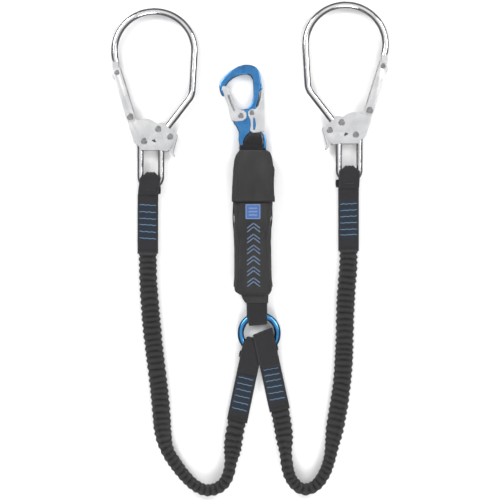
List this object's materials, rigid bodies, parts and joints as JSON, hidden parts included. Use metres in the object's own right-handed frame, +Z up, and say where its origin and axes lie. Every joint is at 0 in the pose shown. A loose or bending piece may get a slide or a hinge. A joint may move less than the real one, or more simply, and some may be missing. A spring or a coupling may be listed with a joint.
{
  "type": "shock absorbing lanyard",
  "caption": "Twin-leg fall-arrest lanyard: carabiner, tear-out absorber pouch, connecting ring, ruched elastic legs and large scaffold hooks with locking gates.",
  "frame": {"origin": "on the floor, midway between the two hooks and at the middle of the length without the elastic legs", "axes": "+Z up, +Y from the absorber to its carabiner, +X to the right seen from above"},
  "size_m": [0.4056, 0.7236, 0.0356],
  "materials": {
    "polished_steel": "polished",
    "plated_steel": "satin zinc plate",
    "spring_steel": "drawn wire",
    "blue_anodised": "satin anodised",
    "black_webbing": "woven polyester",
    "ruched_webbing": "ruched tubular weave",
    "pouch_fabric": "coated polyamide",
    "wear_tape": "smooth tape",
    "hook_and_loop": "hook and loop",
    "elastic_band": "elastic",
    "tear_webbing": "woven",
    "clear_film": "shrunk film",
    "label": "blank satin label",
    "emblem": "printed patch"
  },
  "bodies": {
    "root": {"pouch_shell": "pouch_fabric", "loop_tape": "hook_and_loop", "id_label": "label", "emblem_patch": "emblem", "tear_webbing": "tear_webbing", "backup_webbing": "black_webbing", "pack_film": "clear_film", "carabiner_loop": "black_webbing", "carabiner_wear_tape": "wear_tape", "absorber_ring_loop": "black_webbing", "left_hook_strap": "black_webbing", "left_ring_strap": "black_webbing", "left_leg_sleeve": "ruched_webbing", "left_leg_core": "elastic_band", "right_hook_strap": "black_webbing", "right_ring_strap": "black_webbing", "right_leg_sleeve": "ruched_webbing", "right_leg_core": "elastic_band"},
    "left_hook": {"left_hook_bow": "polished_steel", "left_hook_front_plate": "plated_steel", "left_hook_back_plate": "plated_steel", "left_hook_bail": "polished_steel", "left_hook_body_rivets": "plated_steel", "left_hook_spacers": "plated_steel", "left_gate_pivot_rivet": "plated_steel", "left_gate_spring": "spring_steel", "left_lever_pivot_rivet": "plated_steel", "left_lever_spring": "spring_steel", "left_hook_loop": "black_webbing", "left_loop_wear_tape": "wear_tape"},
    "left_gate": {"left_gate": "plated_steel", "left_gate_nose_pin": "plated_steel"},
    "left_lock_lever": {"left_lock_lever": "plated_steel"},
    "right_hook": {"right_hook_bow": "polished_steel", "right_hook_front_plate": "plated_steel", "right_hook_back_plate": "plated_steel", "right_hook_bail": "polished_steel", "right_hook_body_rivets": "plated_steel", "right_hook_spacers": "plated_steel", "right_gate_pivot_rivet": "plated_steel", "right_gate_spring": "spring_steel", "right_lever_pivot_rivet": "plated_steel", "right_lever_spring": "spring_steel", "right_hook_loop": "black_webbing", "right_loop_wear_tape": "wear_tape"},
    "right_gate": {"right_gate": "plated_steel", "right_gate_nose_pin": "plated_steel"},
    "right_lock_lever": {"right_lock_lever": "plated_steel"},
    "carabiner": {"carabiner_frame": "blue_anodised", "carabiner_gate_rivet": "plated_steel", "carabiner_gate_spring": "spring_steel", "carabiner_lever_rivet": "plated_steel", "carabiner_lever_spring": "spring_steel"},
    "carabiner_gate": {"carabiner_gate": "plated_steel"},
    "carabiner_lever": {"carabiner_lever": "plated_steel"},
    "ring": {"connecting_ring": "blue_anodised"},
    "flap": {"pouch_flap": "pouch_fabric", "hook_tape": "hook_and_loop"}
  },
  "joints": [
    {"name": "left_hook_swing", "type": "hinge", "parent": "root", "child": "left_hook", "pos_m": [-0.1495, 0.0184, 0.0098], "axis": [1, 0, 0], "range_deg": [0, 90]},
    {"name": "left_gate_open", "type": "hinge", "parent": "left_hook", "child": "left_gate", "pos_m": [-0.1741, 0.1355, 0.0101], "axis": [0, 0, -1], "range_deg": [0, 60], "stiffness_Nm_per_rad": 0.25, "springref_deg": -28.65},
    {"name": "left_lever_squeeze", "type": "hinge", "parent": "left_hook", "child": "left_lock_lever", "pos_m": [-0.1162, 0.1067, 0.0101], "axis": [0, 0, -1], "range_deg": [0, 12], "stiffness_Nm_per_rad": 0.5, "springref_deg": -17.19},
    {"name": "right_hook_swing", "type": "hinge", "parent": "root", "child": "right_hook", "pos_m": [0.1442, 0.028, 0.0098], "axis": [1, 0, 0], "range_deg": [0, 90]},
    {"name": "right_gate_open", "type": "hinge", "parent": "right_hook", "child": "right_gate", "pos_m": [0.1741, 0.1451, 0.0101], "axis": [0, 0, 1], "range_deg": [0, 60], "stiffness_Nm_per_rad": 0.25, "springref_deg": -28.65},
    {"name": "right_lever_squeeze", "type": "hinge", "parent": "right_hook", "child": "right_lock_lever", "pos_m": [0.1162, 0.1163, 0.0101], "axis": [0, 0, 1], "range_deg": [0, 12], "stiffness_Nm_per_rad": 0.5, "springref_deg": -17.19},
    {"name": "carabiner_swing", "type": "hinge", "parent": "root", "child": "carabiner", "pos_m": [0.0054, 0.0912, 0.008], "axis": [1, 0, 0], "range_deg": [0, 80]},
    {"name": "carabiner_gate_open", "type": "hinge", "parent": "carabiner", "child": "carabiner_gate", "pos_m": [-0.0132, 0.1375, 0.008], "axis": [0, 0, -1], "range_deg": [0, 42], "stiffness_Nm_per_rad": 0.12, "springref_deg": -28.65},
    {"name": "carabiner_lever_squeeze", "type": "hinge", "parent": "carabiner", "child": "carabiner_lever", "pos_m": [0.0028, 0.1418, 0.008], "axis": [0, 0, 1], "range_deg": [0, 7], "stiffness_Nm_per_rad": 0.5, "springref_deg": -17.19},
    {"name": "ring_turn", "type": "hinge", "parent": "root", "child": "ring", "pos_m": [0.0134, -0.1802, 0.01], "axis": [0, 0, 1], "continuous": true},
    {"name": "flap_lift", "type": "hinge", "parent": "root", "child": "flap", "pos_m": [0.0043, 0.0841, 0.0342], "axis": [1, 0, 0], "range_deg": [-150, 0]}
  ]
}
